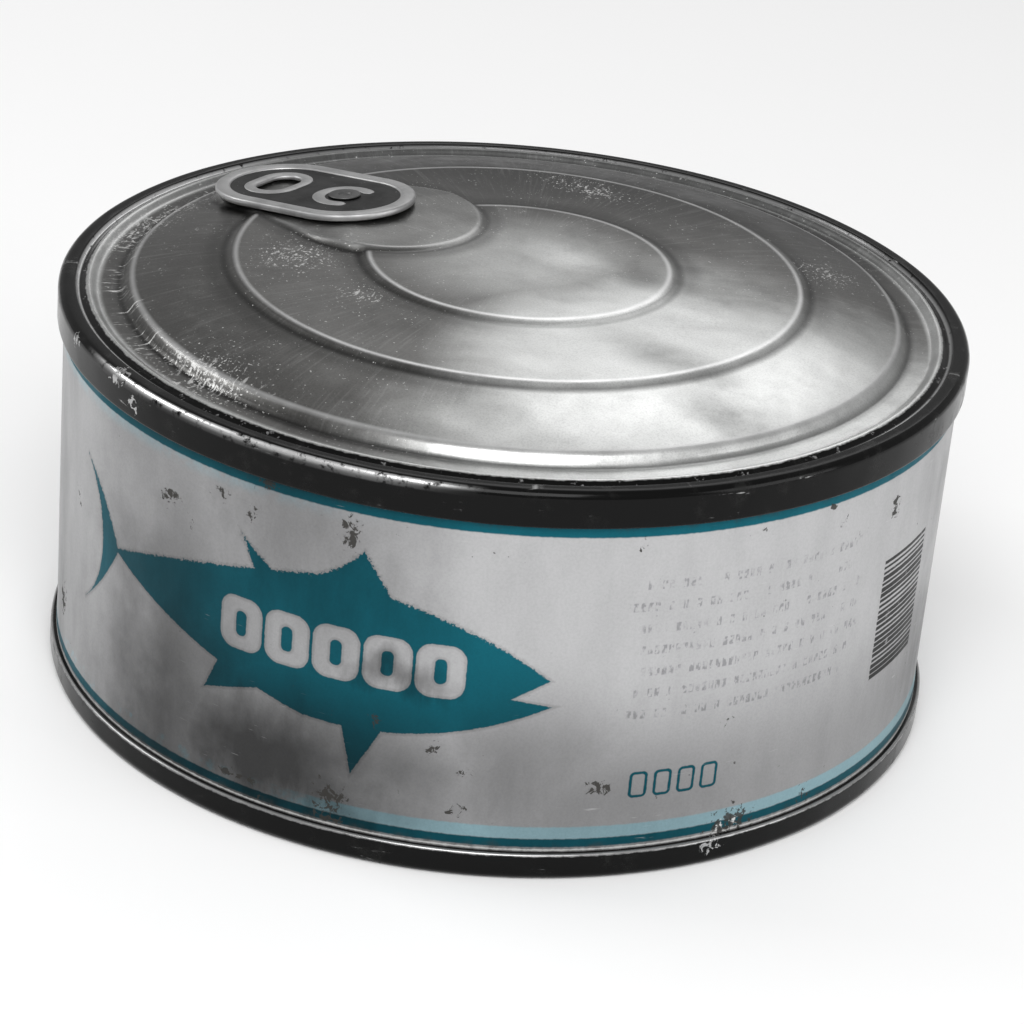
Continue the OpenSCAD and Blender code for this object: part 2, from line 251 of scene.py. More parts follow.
class Finish:
    """The node tree of one material."""

    def __init__(self, name):
        self.material = bpy.data.materials.new(name)
        self.material.use_nodes = True
        self.tree = self.material.node_tree
        self.tree.nodes.clear()
        place = self.node("ShaderNodeTexCoord", out="Object")
        self.place = self.vector("SCALE", place, scale=1 / MM)
        self.x, self.y, self.z = self.split(self.place)

    def node(self, kind, settings=None, sockets=None, out=0):
        made = self.tree.nodes.new(kind)
        for name, value in (settings or {}).items():
            setattr(made, name, value)
        for key, value in (sockets or {}).items():
            if isinstance(value, Signal):
                self.tree.links.new(value.socket, made.inputs[key])
            else:
                made.inputs[key].default_value = value
        return Signal(self, made.outputs[out])

    def vector(self, operation, first, second=None, scale=None, out=0):
        sockets = {0: first}
        if second is not None:
            sockets[1] = second
        if scale is not None:
            sockets["Scale"] = scale
        return self.node("ShaderNodeVectorMath", {"operation": operation}, sockets, out)

    def split(self, vector):
        parts = self.node("ShaderNodeSeparateXYZ", sockets={0: vector})
        outputs = parts.socket.node.outputs
        return [Signal(self, outputs[index]) for index in range(3)]

    def join(self, x, y, z=0.0):
        return self.node("ShaderNodeCombineXYZ", sockets={0: x, 1: y, 2: z})

    def smooth(self, value, start, end, low=0.0, high=1.0):
        """low before start, high after end, and a smooth S between them."""
        sockets = {"Value": value, "From Min": start, "From Max": end, "To Min": low, "To Max": high}
        return self.node("ShaderNodeMapRange", {"interpolation_type": "SMOOTHSTEP"}, sockets)

    def inside(self, distance, soft=0.07):
        """1 where a signed distance is positive, with an edge that is soft on both sides."""
        return self.smooth(distance, -soft, soft)

    def stretched(self, x, y, z):
        """The place with its axes scaled, for marks that are longer one way."""
        return self.vector("MULTIPLY", self.place, (x, y, z))

    def noise(self, scale, detail=2.0, roughness=0.5, distortion=0.0, at=None):
        """Cloudy noise from 0 to 1, whose lumps are about 1 / scale millimetres wide."""
        sockets = {
            "Vector": at or self.place, "Scale": scale, "Detail": detail, "Roughness": roughness,
            "Distortion": distortion,
        }
        return self.node("ShaderNodeTexNoise", None, sockets)

    def chance(self, value):
        """A number from 0 to 1 that jumps with each value."""
        return self.node("ShaderNodeTexWhiteNoise", {"noise_dimensions": "1D"}, {"W": value})

    def mix(self, factor, first, second):
        """Colour that goes from first to second. A colour is a signal or three numbers."""
        sockets = {0: factor}
        for key, value in ((6, first), (7, second)):
            sockets[key] = value if isinstance(value, Signal) else (*value, 1.0)
        return self.node("ShaderNodeMix", {"data_type": "RGBA", "clamp_factor": True}, sockets, 2)

    def shade(self, colour_signal, factor):
        """The colour made darker by a factor from 0 to 1."""
        return self.vector("SCALE", colour_signal, scale=factor)

    def darken(self, mask, paint, left):
        """The paint, taken down to a share that is left of it where the mask is 1."""
        return self.mix(mask, paint, self.shade(paint, left))

    def bump(self, height, depth, strength=1.0, normal=None):
        """Relief whose height signal is counted in steps of depth millimetres."""
        sockets = {"Height": height, "Distance": depth * MM, "Strength": strength}
        if normal is not None:
            sockets["Normal"] = normal
        return self.node("ShaderNodeBump", None, sockets)

    def patches(self, vector, table):
        """Soft spots from rows of place, radii and strength."""
        return most(*[self.patch(vector, row[:2], row[2:4], row[4]) for row in table])

    def patch(self, vector, centre, radii, power=1.0):
        """A soft spot: as strong as its power in the middle, and 0 at its radii."""
        away = self.vector("SUBTRACT", vector, (*centre, 0.0))
        spread = self.vector("DIVIDE", away, (*radii, 1.0))
        reach = self.vector("LENGTH", spread, out="Value")
        return self.smooth(reach, 1.0, 0.0, 0.0, power)

    def knock(self, degrees, radius, height, reach):
        """A soft spot round a place that is given by its angle, radius and height."""
        angle = math.radians(degrees)
        place = (radius * math.cos(angle), radius * math.sin(angle), height)
        away = self.vector("DISTANCE", self.place, place, out="Value")
        return self.smooth(away, reach, reach / 4)

    def disc(self, vector, centre, radius):
        """Signed distance to a circle, positive inside."""
        return radius - self.vector("DISTANCE", vector, (*centre, 0.0), out="Value")

    def side(self, vector, start, end):
        """Signed distance to the line from start to end, positive on its left."""
        along = np.subtract(end, start)
        normal = np.array([-along[1], along[0]]) / np.hypot(*along)
        reach = self.vector("DOT_PRODUCT", vector, (*normal.tolist(), 0.0), out="Value")
        return reach - float(np.dot(normal, start))

    def polygon(self, vector, *corners):
        """Signed distance to a convex polygon whose corners run anticlockwise."""
        following = corners[1:] + corners[:1]
        return least(*[self.side(vector, a, b) for a, b in zip(corners, following)])

    def rounded(self, x, y, half, corner):
        """Signed distance to an upright rectangle round zero with round corners."""
        reach_x = most(abs(x) - (half[0] - corner), 0.0)
        reach_y = most(abs(y) - (half[1] - corner), 0.0)
        return corner - (reach_x * reach_x + reach_y * reach_y).power(0.5)

    def block(self, x, y, low, high):
        """Signed distance to an upright rectangle, positive inside."""
        middle = [(a + b) / 2 for a, b in zip(low, high)]
        half = [(b - a) / 2 for a, b in zip(low, high)]
        return least(half[0] - abs(x - middle[0]), half[1] - abs(y - middle[1]))

    def surface(self, base, metallic, roughness, normal, gloss=0.5):
        sockets = {
            "Base Color": base, "Metallic": metallic, "Roughness": roughness, "Normal": normal,
            "Specular IOR Level": gloss,
        }
        shader = self.node("ShaderNodeBsdfPrincipled", None, sockets)
        output = self.tree.nodes.new("ShaderNodeOutputMaterial")
        self.tree.links.new(shader.socket, output.inputs["Surface"])
        return self.material


def dulled(tones, left):
    """A plain colour, taken down to a share of itself."""
    return tuple(left * tone for tone in tones)


def circle_through(a, b, c):
    """Centre and radius of the circle through three points."""
    rows = np.array([np.subtract(b, a), np.subtract(c, a)]) * 2
    sums = np.array([np.dot(b, b) - np.dot(a, a), np.dot(c, c) - np.dot(a, a)])
    centre = np.linalg.solve(rows, sums)
    return tuple(centre.tolist()), float(np.hypot(*np.subtract(a, centre)))


# ---------------------------------------------------------------- finishes

# rows of soft spots: place, radii, strength
# painted shade on the print of the wall
LABEL_SHADE = (
    (-8.0, 10.0, 24.0, 60.0, 0.78), (8.0, 38.0, 24.0, 30.0, 0.55), (8.0, 9.0, 26.0, 17.0, 0.97),
    (34.0, 14.0, 16.0, 14.0, 0.4), (44.0, 8.0, 26.0, 12.0, 0.3), (18.0, 23.0, 9.0, 5.0, 0.7),
)
LABEL_DIRT = (
    (14.2, 6.0, 4.0, 5.5, 1.0), (13.8, 2.5, 5.0, 3.0, 1.0), (14.6, 37.6, 2.2, 5.0, 1.0),
    (4.9, 40.6, 3.5, 2.0, 1.0), (-8.4, 34.8, 3.0, 2.4, 1.0), (-4.9, 33.2, 1.6, 1.6, 0.8),
    (-0.9, 37.8, 2.6, 1.8, 0.9), (3.1, 36.8, 1.8, 1.8, 0.9), (42.6, 10.8, 2.6, 2.2, 1.0),
    (27.5, 7.7, 3.0, 1.6, 0.9), (24.8, 14.8, 2.6, 1.6, 0.9), (28.2, 12.4, 2.0, 1.4, 0.8),
    (2.2, 5.6, 4.5, 1.6, 0.85), (79.6, 36.0, 1.8, 3.0, 1.0), (67.8, 39.8, 2.4, 1.2, 1.0),
    (69.6, 37.5, 1.6, 1.4, 0.8), (58.5, 39.0, 2.2, 1.4, 0.8), (44.3, 39.0, 1.6, 1.0, 0.8),
    (56.3, 17.2, 2.0, 1.2, 0.7), (-34.6, 10.0, 3.0, 4.5, 1.0), (18.6, 16.9, 1.4, 2.2, 1.0),
    (59.0, 3.6, 5.0, 3.4, 0.8), (69.8, 3.4, 1.6, 2.4, 0.8), (-28.0, 26.0, 2.2, 3.2, 0.6),
)
LABEL_FLAKES = ((58.4, 4.2, 5.0, 3.9, 1.0), (68.6, 4.9, 1.9, 2.2, 0.8))
END_STAINS = (
    (27.0, -10.5, 13.0, 5.5, 0.95), (36.0, -14.5, 10.0, 5.5, 0.95), (13.5, 5.0, 4.5, 4.5, 0.8),
    (36.0, 14.0, 9.0, 9.0, 0.45), (0.0, -24.0, 9.0, 7.0, 0.5), (14.0, -32.0, 13.0, 5.0, 0.55),
)
END_SCUFFS = (
    (-19.0, -16.0, 9.0, 9.0, 1.0), (-10.5, -43.0, 16.0, 7.0, 1.0), (-43.0, -14.0, 7.0, 26.0, 1.0),
    (-6.5, -20.0, 7.0, 5.0, 0.9), (-8.5, 26.5, 12.0, 5.0, 0.85), (24.5, 26.5, 7.0, 9.0, 0.8),
)
# knocks on the seams: degrees, radius, height, reach
SEAM_KNOCKS = (
    (-110.0, 51.0, 45.3, 2.6), (-106.0, 51.5, 43.0, 1.7), (-122.0, 51.3, 44.5, 1.8),
    (-27.0, 51.5, 2.6, 2.4),
)

# tones of grey
BARE_METAL = (0.42, 0.42, 0.42)
HIGHLIGHT_AND_BARE_EDGE = (0.85, 0.85, 0.85)
SCUFFED_BLACK = (0.05, 0.05, 0.048)
FAINT_INK = (0.17, 0.17, 0.18)
SCRATCHED_PRINT = (0.7, 0.7, 0.7)
FLAKED_PRINT = (0.62, 0.62, 0.61)
HAIRLINE = (0.86, 0.86, 0.85)
CREST_SHINE = (0.9, 0.9, 0.9)
SPECK = (0.8, 0.8, 0.79)
RUBBED_TAB = (0.8, 0.8, 0.8)


def fish_outline(finish, spot):
    """Signed distance to the printed fish: a spindle, four fins and a sickle tail."""

    def arc(*points):
        centre, radius = circle_through(*points)
        return finish.disc(spot, centre, radius)

    nose = (36.2, 23.6)
    mouth = (32.4, 21.3)
    jaw = (36.3, 20.4)
    stem = (-17.3, 24.3)
    rear_half = finish.side(spot, (10.5, 10.0), (10.5, 40.0))
    body = least(
        arc((-17.3, 24.6), (1.8, 30.2), (11.0, 32.2)),
        arc((-17.3, 24.1), (-0.3, 18.4), (9.3, 15.8)),
        most(rear_half, arc((9.3, 31.9), (24.3, 29.9), nose)),
        most(rear_half, arc((9.3, 15.7), (24.3, 16.4), jaw)),
        finish.side(spot, (-17.6, 30.0), (-17.6, 15.0)),
    )
    gape = finish.polygon(spot, mouth, (40.0, 20.0), (40.0, 25.9))
    spindle = least(body, -gape)
    back_fin = least(
        finish.polygon(spot, (7.0, 29.0), (20.7, 29.0), (16.1, 36.0), (15.5, 36.4)),
        -arc((9.3, 31.7), (13.0, 33.2), (16.1, 36.0)),
    )
    small_fin = finish.polygon(spot, (4.2, 29.6), (6.6, 30.6), (2.2, 33.9))
    vent_fin = finish.polygon(spot, (-2.1, 14.7), (4.9, 17.0), (-0.2, 19.0))
    belly_fin = finish.polygon(spot, (16.1, 10.0), (19.3, 16.0), (14.7, 16.0))
    tail = least(
        arc((-24.96, 32.3), (-19.9, 28.3), stem),
        arc((-25.2, 15.2), (-20.1, 20.2), stem),
        -arc((-24.96, 32.24), (-20.9, 24.1), (-25.2, 15.25)),
        finish.side(spot, (-25.2, 40.0), (-25.2, 10.0)),
    )
    return most(spindle, back_fin, small_fin, vent_fin, belly_fin, tail)


def print_finish(colours):
    """Worn print on the wall. Spot is a place on it: millimetres round from the front, and up."""
    f = Finish("printed_wall")
    round_mm = f.x.maths("ARCTAN2", f.x, -f.y) * (WALL_R / MM)
    spot = f.join(round_mm, f.z)

    fuzz = f.noise(1.6, 4.0, 0.6) - 0.5
    ragged = fuzz * 0.55
    worn = f.noise(0.55, 5.0, 0.65)
    cloud = f.noise(0.07, 4.0, 0.6)
    mottle = f.noise(0.28, 5.0, 0.62, at=f.stretched(1.0, 1.0, 0.35))
    streak = f.noise(0.8, 3.0, 0.6, at=f.stretched(1.0, 1.0, 0.05))

    # mottled ground of the label
    ground = f.mix(f.smooth(mottle, 0.35, 0.7), colours.label, dulled(colours.label, 0.93))

    # pale and strong teal lines under the top seam and over the bottom seam
    edge_z = f.z + ragged * 0.35

    def line(height, width, soft):
        return f.inside(width / 2 - abs(edge_z - height), soft)

    right = f.smooth(round_mm, 2.0, 20.0) * f.smooth(round_mm, 130.0, 105.0)
    fade = f.smooth(edge_z, 38.4, 40.2) * (1 - right) * 0.45 * f.smooth(worn, 0.3, 0.6)
    paint = f.mix(fade, ground, colours.pale_teal)
    pale_band = line(5.44, 1.42, 0.12) * f.smooth(worn + right * 0.4, 0.5, 0.75)
    paint = f.mix(pale_band * 0.85, paint, colours.pale_teal)
    top_line = line(40.65, 1.1, 0.1)
    low_line = line(4.22, 1.0, 0.1)

    # fish with a torn edge, and a row of five fat noughts along it
    torn = (f.noise(3.2, 2.0, 0.6) - 0.5) * f.smooth(f.z, 22.0, 28.0, 0.15, 0.8)
    fish = fish_outline(f, spot) + ragged * 0.3 + torn
    nought_pitch = 5.61
    row_middle = (13.67, 23.77)
    across = (((round_mm + 0.355) / nought_pitch).part() - 0.5) * nought_pitch
    up = f.z - row_middle[1]
    outer_edge = f.rounded(across, up, (2.62, 3.07), 1.7)
    slot = f.rounded(across, up, (0.66, 1.45), 0.6)
    in_row = 14.02 - abs(round_mm - row_middle[0])
    nought = least(outer_edge, -slot, in_row) + ragged * 0.35
    drawn = least(fish, -nought)
    teal_mask = most(f.inside(drawn), top_line, low_line)
    outline = f.smooth(abs(drawn + 0.12), 0.3, 0.0) * 0.22
    teal_tone = f.mix(f.smooth(mottle, 0.3, 0.75), colours.teal, dulled(colours.teal, 0.86))
    paint = f.mix(teal_mask, paint, teal_tone)
    paint = f.mix(outline, paint, colours.grime)

    # block of faint printed lines, worn down to broken dashes
    row_pitch = 2.517
    letter_pitch = 0.78
    row = (f.z - 18.14) / row_pitch
    row_number = row.whole()
    row_place = abs(row.part() - 0.5)
    letter = round_mm / letter_pitch + row_number * 7.3
    stroke = f.smooth(f.chance(letter.whole()), 0.22, 0.3)
    stroke = stroke * f.smooth(abs(letter.part() - 0.5), 0.38, 0.3)
    notch = f.noise(1.0, 2.0, at=f.join(round_mm * 2.4, f.z * 1.3))
    row_end = f.chance(row_number + 3.5) * 7.0
    in_rows = f.inside(f.block(round_mm - row_end * 0.35, f.z, (43.5, 18.2), (72.0, 35.6)), 0.3)
    dashes = f.smooth(row_place, 0.23, 0.17) * stroke * in_rows * f.smooth(notch, 0.42, 0.56)
    dashes = dashes * f.smooth(worn, 0.36, 0.56) * 0.65
    paint = f.mix(dashes, paint, FAINT_INK)

    # stack of plain bars
    bar_pitch = 0.672
    bars_low = (78.9, 15.2)
    bars_high = (89.8, 30.0)
    bar_place = (f.z - bars_low[1] + fuzz * 0.1) / bar_pitch
    bar_half = f.chance(bar_place.whole() + 0.5) * 0.2 + 0.23
    bar_on = f.smooth(bar_half - abs(bar_place.part() - 0.5), -0.07, 0.07)
    in_bars = f.inside(f.block(round_mm + ragged, f.z, bars_low, bars_high), 0.08)
    bars = bar_on * in_bars * f.smooth(worn, 0.2, 0.4)
    paint = f.mix(bars, paint, colours.ink)

    # row of plain outlined marks
    mark_pitch = 2.75
    marks_low = (45.4, 8.0)
    marks_high = (56.4, 14.0)
    mark = (round_mm - marks_low[0]) / mark_pitch
    mark_edge = abs(f.rounded((mark.part() - 0.5) * mark_pitch, f.z - 10.9, (0.86, 1.4), 0.42))
    in_marks = f.inside(f.block(round_mm, f.z, marks_low, marks_high), 0.05)
    marks = f.inside(0.17 - mark_edge + ragged * 0.3, 0.07) * in_marks
    paint = f.mix(marks, paint, colours.teal)

    # painted shade in soft clouds, random dark clouds on the back, streaks, and darker towards the
    # bottom
    drifted = f.join(round_mm + (cloud - 0.5) * 26.0, f.z + (mottle - 0.5) * 9.0)
    shadow = most(f.patches(drifted, LABEL_SHADE), f.patch(spot, (-36.0, 14.0), (5.0, 26.0), 0.25))
    shadow = shadow * f.smooth(cloud + mottle * 0.5, 0.35, 0.85, 0.85, 1.1)
    foot = f.smooth(f.z, 26.0, 9.0, 0.0, 0.45) * f.smooth(abs(round_mm + 40.0), 6.0, 34.0, 0.25, 1.0)
    paint = f.darken(shadow, paint, 0.15)
    paint = f.darken(foot, paint, 0.15)
    rear = f.smooth(f.y, 0.0, 25.0)
    paint = f.darken(f.smooth(cloud, 0.42, 0.72) * rear * 0.55, paint, 0.15)
    drips = f.smooth(streak, 0.56, 0.74) * f.smooth(mottle, 0.42, 0.62) * 0.04
    paint = f.darken(drips, paint, 0.35)
    fine_grain = f.smooth(f.noise(3.5, 3.0, 0.7), 0.35, 0.7, 0.0, 0.12)
    paint = f.darken(fine_grain, paint, 0.3)

    # dirt: spots in clusters, and single specks
    rear_dirt = f.smooth(f.noise(0.1, 2.0), 0.56, 0.68) * rear
    rear_dirt = rear_dirt * f.smooth(abs(f.z - 22.0), 6.0, 18.0, 0.4, 0.9)
    near = most(f.patches(spot, LABEL_DIRT), rear_dirt)
    crumbs = f.noise(1.1, 6.0, 0.7, 0.6)
    spots = f.smooth(crumbs + near * 0.24, 0.705, 0.722) * f.smooth(near, 0.05, 0.25)
    specks = f.smooth(f.noise(1.5, 2.0, 0.5), 0.74, 0.78) * f.smooth(cloud, 0.44, 0.6)
    dirt = most(spots, specks * 0.8)
    paint = f.mix(dirt * 0.92, paint, colours.grime)
    edge_dirt = f.smooth(abs(f.z - 22.5) + worn * 3.0, 19.8, 21.3) * 0.75
    paint = f.mix(edge_dirt, paint, colours.grime)

    # bare metal where the print has flaked off
    flake_at = f.patches(spot, LABEL_FLAKES)
    near_flakes = f.smooth(flake_at, 0.05, 0.3)
    flakes = f.smooth(f.noise(0.9, 5.0, 0.6) * 0.9 + flake_at * 0.35, 0.75, 0.8) * near_flakes
    pits = f.smooth(f.noise(1.5, 4.0, 0.6) + flake_at * 0.22, 0.68, 0.72) * near_flakes
    scratch_lines = f.noise(0.7, 2.0, at=f.stretched(0.4, 0.4, 6.0))
    scratches = f.smooth(scratch_lines, 0.7, 0.76) * f.smooth(cloud, 0.5, 0.7) * 0.4
    paint = f.mix(scratches, paint, SCRATCHED_PRINT)
    seam_line = f.smooth(abs(f.z - 3.4) + ragged * 0.5, 0.16, 0.04)
    bare = most(flakes, seam_line * 0.9)
    base = f.mix(bare, paint, FLAKED_PRINT)
    base = f.mix(pits * 0.9, base, colours.grime)

    roughness = f.smooth(mottle + bare * 0.1, 0.25, 0.8, 0.36, 0.55) + dirt * 0.25
    relief = f.noise(2.2, 3.0, 0.6) * 0.25 - flakes * 1.2
    swell = f.bump(f.noise(0.06, 1.0), 0.5, 0.6)
    normal = f.bump(relief, 0.03, 0.8, swell)
    return f.surface(base, bare * 0.6, roughness, normal, gloss=0.07)


def lacquer_marks(f):
    """Masks on the black lacquer: bare scratches, grey scuffs and chips."""
    heading = f.vector("NORMALIZE", f.stretched(1.0, 1.0, 0.0))
    around = f.vector("ADD", f.vector("SCALE", heading, scale=9.0), f.join(0.0, 0.0, f.z * 1.7))
    lines = f.noise(1.2, 5.0, 0.6, 0.4, at=around)
    scuffs = f.noise(0.22, 5.0, 0.68)
    chips = f.noise(1.1, 5.0, 0.62, 0.8)
    knocked = most(*[f.knock(*row) for row in SEAM_KNOCKS])
    scratch = f.smooth(lines, 0.64, 0.7) * f.smooth(scuffs, 0.5, 0.66)
    scuff = f.smooth(scuffs, 0.52, 0.74)
    chip = f.smooth(chips + knocked * 0.2, 0.71, 0.74) * f.smooth(scuffs + knocked, 0.5, 0.62)
    return scratch, scuff, chip


def black_lacquer(f, colours, scuff, rubbed):
    """Black that is greyed where it is scuffed and bare where it is rubbed."""
    black = f.mix(scuff * 0.16, colours.lacquer, SCUFFED_BLACK)
    return f.mix(rubbed, black, BARE_METAL)


def end_surface(f, base, lacquered, rubbed, scuff, metal_rough, relief):
    """Sheet of an end: metal that shows where it isn't lacquered, or is rubbed."""
    black_rough = 0.16 + scuff * 0.3 + rubbed * 0.15
    roughness = metal_rough * (1 - lacquered) + black_rough * lacquered
    swell = f.bump(f.noise(0.09, 2.0), 0.35, 0.7)
    normal = f.bump(relief, 0.012, 0.9, swell)
    return f.surface(base, 1 - lacquered * (1 - rubbed), roughness, normal, gloss=0.12)


def top_end_finish(colours, ends, tab):
    """Bowed tinplate with pressed rings, clouds and specks, painted reflection, painted light and
    painted shade, and black lacquer on the seam with painted highlights.
    """
    f = Finish("end_metal")
    flat = f.join(f.x, f.y)
    radius = f.vector("LENGTH", flat, out="Value")
    spread = f.vector("DIVIDE", flat, f.join(radius + 0.001, radius + 0.001, 1.0))

    def radial(count, drift, detail, roughness):
        """Lines that run along the radius and break up as they drift."""
        fan_out = f.vector("SCALE", spread, scale=count)
        at = f.vector("ADD", fan_out, f.join(0.0, 0.0, radius * drift))
        return f.noise(1.0, detail, roughness, at=at)

    rays = radial(70.0, 0.12, 4.0, 0.7)
    fine_rays = radial(260.0, 0.3, 3.0, 0.7)
    cloud = f.noise(0.06, 5.0, 0.62, 0.4)
    mottle = f.noise(0.22, 5.0, 0.65)
    grain = f.noise(3.0, 3.0, 0.7)
    worn = f.noise(0.9, 5.0, 0.68)

    # where the rings and the pad are
    outer_r = (SEAM_R - ends.seam_width - ends.bead_width - ends.groove_width - ends.step_width) / MM
    middle_foot = outer_r - ends.outer_slope / MM
    inner_foot = middle_foot - (ends.step_width + ends.middle_slope) / MM
    step = ends.step_width / MM
    pad = pad_signal(f, flat, outer_r, tab)
    on_panel = f.smooth(pad, -0.2, -0.9)

    def ring(at, wide):
        return f.smooth(abs(radius - at), wide, 0.0)

    # painted shade at the foot of each pressed step and just outside the pad's edge
    foot_shade = most(
        ring(outer_r + step + 0.15, 0.9),
        most(ring(middle_foot + 0.1, 0.8), ring(inner_foot + 0.1, 0.8)) * on_panel,
        f.smooth(abs(pad + 0.55), 0.7, 0.0) * f.smooth(radius, outer_r, outer_r - 2),
    )
    # painted highlights on the crest of each pressed step and just inside the pad's edge
    crest_highlights = most(
        ring(outer_r - 0.25, 0.5),
        most(ring(middle_foot - step - 0.2, 0.5), ring(inner_foot - step - 0.2, 0.5)) * on_panel,
        f.smooth(abs(pad - 0.35), 0.45, 0.0, 0.0, 0.3),
    )
    shade_bands = most(
        f.smooth(abs(radius - outer_r - 1.6), 2.6, 0.4),
        f.smooth(abs(radius - middle_foot - 0.9), 2.4, 0.3) * on_panel,
        f.smooth(abs(radius - inner_foot - 0.9), 2.4, 0.3) * on_panel,
        f.smooth(abs(pad + 1.2), 2.0, 0.3) * f.smooth(radius, outer_r, outer_r - 2),
    )

    stains = f.patches(flat, END_STAINS) * f.smooth(cloud + mottle * 0.4, 0.5, 0.85, 0.6, 1.1)

    # painted reflection in a fan on the right of the front and painted light in the middle, lighter
    # metal on the pad and the bead, dull metal elsewhere
    fan_turn = math.radians(-22)
    fan_way = (math.cos(fan_turn), math.sin(fan_turn), 0.0)
    facing = f.vector("DOT_PRODUCT", spread, fan_way, out="Value")
    painted_reflection_fan = f.smooth(facing + (cloud - 0.5) * 0.4, 0.48, 0.98) * f.smooth(radius, 3.0, 18.0, 0.1, 0.88)
    painted_centre_light = f.smooth(radius, 19.0, 3.0, 0.0, 0.52) * f.smooth(f.x, -18.0, 8.0, 0.6, 1.0)
    on_pad = f.inside(pad, 0.5)
    painted_side_reflection = f.patch(flat, (21.0, 8.0), (19.0, 15.0), 0.42) * f.smooth(cloud, 0.35, 0.6, 0.6, 1.0)
    painted_centre_light = most(painted_centre_light, painted_side_reflection)
    painted_light_and_clean = most(painted_reflection_fan, painted_centre_light, on_pad * 0.14, f.smooth(radius, 46.4, 47.2) * 0.6)
    # random tone, and a painted highlight right of the middle
    painted_light_and_clean = painted_light_and_clean + (mottle - 0.5) * 0.22 + f.patch(flat, (3.5, 4.5), (8.0, 4.5), 0.3)
    # painted shade: darker towards the far side of the top end
    rear = f.smooth(f.x * -0.45 + f.y * 0.9, 6.0, 34.0, 0.0, 0.9)
    metal = f.mix(painted_light_and_clean, colours.tarnish, colours.tinplate)
    metal = f.darken(rear, metal, 0.2)
    metal = f.darken(stains, metal, 0.45)
    metal = f.mix(f.smooth(rays, 0.5, 0.75) * 0.1, metal, HAIRLINE)
    metal = f.darken(shade_bands * (1 - painted_reflection_fan) * 0.42, metal, 0.2)
    metal = f.darken(foot_shade * 0.7, metal, 0.3)
    fine = f.noise(4.5, 2.0, 0.8)
    metal = f.darken(f.smooth(fine, 0.4, 0.7, 0.0, 0.3), metal, 0.45)
    metal = f.mix(crest_highlights * 0.55, metal, CREST_SHINE)

    long_rays = radial(110.0, 0.3, 3.0, 0.65)
    edge_wear = f.smooth(abs(radius - 44.8), 3.6, 0.8) * f.smooth(f.x, 4.0, -24.0, 0.25, 1.0)
    scuffed = f.patches(flat, END_SCUFFS)
    hair_place = f.join(f.x * 2.2 + f.y * 0.5, f.y * 0.55 - f.x * 0.2, f.z)
    hairs = f.noise(1.0, 4.0, 0.7, 0.5, at=hair_place)
    dots = f.noise(2.8, 3.0, 0.6) + (mottle - 0.5) * 0.16
    specks = most(
        f.smooth(hairs + scuffed * 0.17, 0.7, 0.76) * scuffed,
        f.smooth(dots + scuffed * 0.1, 0.67, 0.72) * f.smooth(painted_reflection_fan, 0.7, 0.2),
        f.smooth(long_rays + edge_wear * 0.1, 0.68, 0.74) * edge_wear * f.smooth(mottle, 0.42, 0.58),
    )
    metal = f.mix(specks * 0.8, metal, SPECK)

    # black lacquer over the crown of the seam, worn off towards the bead, with painted highlights
    # along its edges
    scratch, scuff, chip = lacquer_marks(f)
    crown_in = (SEAM_R - ends.seam_width) / MM
    lacquered = f.smooth(radius + (worn - 0.5) * 0.5, crown_in - 1.0, crown_in - 0.75)
    rubbed = most(
        f.smooth(abs(radius - crown_in + 0.5), 0.7, 0.2) * f.smooth(worn, 0.6, 0.68) * 0.7,
        scratch * 0.8,
        chip,
    )
    black = black_lacquer(f, colours, scuff, rubbed)
    # bare metal at the seam's inner edge, with a painted highlight that is stronger on the near side
    worn_rim_highlight = ring(crown_in + 0.1, 0.28) * f.smooth(worn, 0.3, 0.42)
    worn_rim_highlight = worn_rim_highlight * f.smooth(f.y, 20.0, -5.0, 0.25, 1.0)
    black = f.mix(worn_rim_highlight, black, HIGHLIGHT_AND_BARE_EDGE)
    # painted highlight along the front of the seam's outer shoulder
    ahead = f.smooth(f.vector("DOT_PRODUCT", spread, (0.03, -1.0, 0.0), out="Value"), 0.86, 0.97)
    shoulder = ring(SEAM_R / MM - 0.3, 0.3) * f.smooth(f.z, 44.2, 44.5) * ahead
    shoulder = shoulder * f.smooth(worn, 0.36, 0.5)
    black = f.mix(shoulder, black, HIGHLIGHT_AND_BARE_EDGE)
    base = f.mix(lacquered, metal, black)
    # the painted highlights are made bare metal too
    rubbed = most(rubbed, worn_rim_highlight, shoulder)
    metal_rough = f.smooth(mottle, 0.3, 0.75, 0.3, 0.42) + stains * 0.08 + specks * 0.2
    relief = rays * 0.3 + fine_rays * 0.25 + grain * 0.15
    relief = relief * (1 - lacquered) + (grain * 0.3 - chip * 1.5) * lacquered
    return end_surface(f, base, lacquered, rubbed, scuff, metal_rough, relief)


def pad_signal(f, flat, outer_r, tab):
    """Signed distance to the pad's outline: two round ends and their tangents."""
    tail_x = -(outer_r - (tab.pad_edge_gap + tab.pad_tail) / MM)
    head_x = tail_x + tab.pad_length / MM
    tail = f.disc(flat, (tail_x, 0.0), tab.pad_tail / MM)
    head = f.disc(flat, (head_x, 0.0), tab.pad_round / MM)
    lean = math.asin((tab.pad_round - tab.pad_tail) / tab.pad_length)
    corners = [
        (x + r * math.cos(angle), r * math.sin(angle))
        for angle in (math.pi / 2 + lean, -math.pi / 2 - lean)
        for x, r in ((head_x, tab.pad_round / MM), (tail_x, tab.pad_tail / MM))
    ]
    middle = f.polygon(flat, corners[0], corners[1], corners[3], corners[2])
    return most(tail, head, middle)


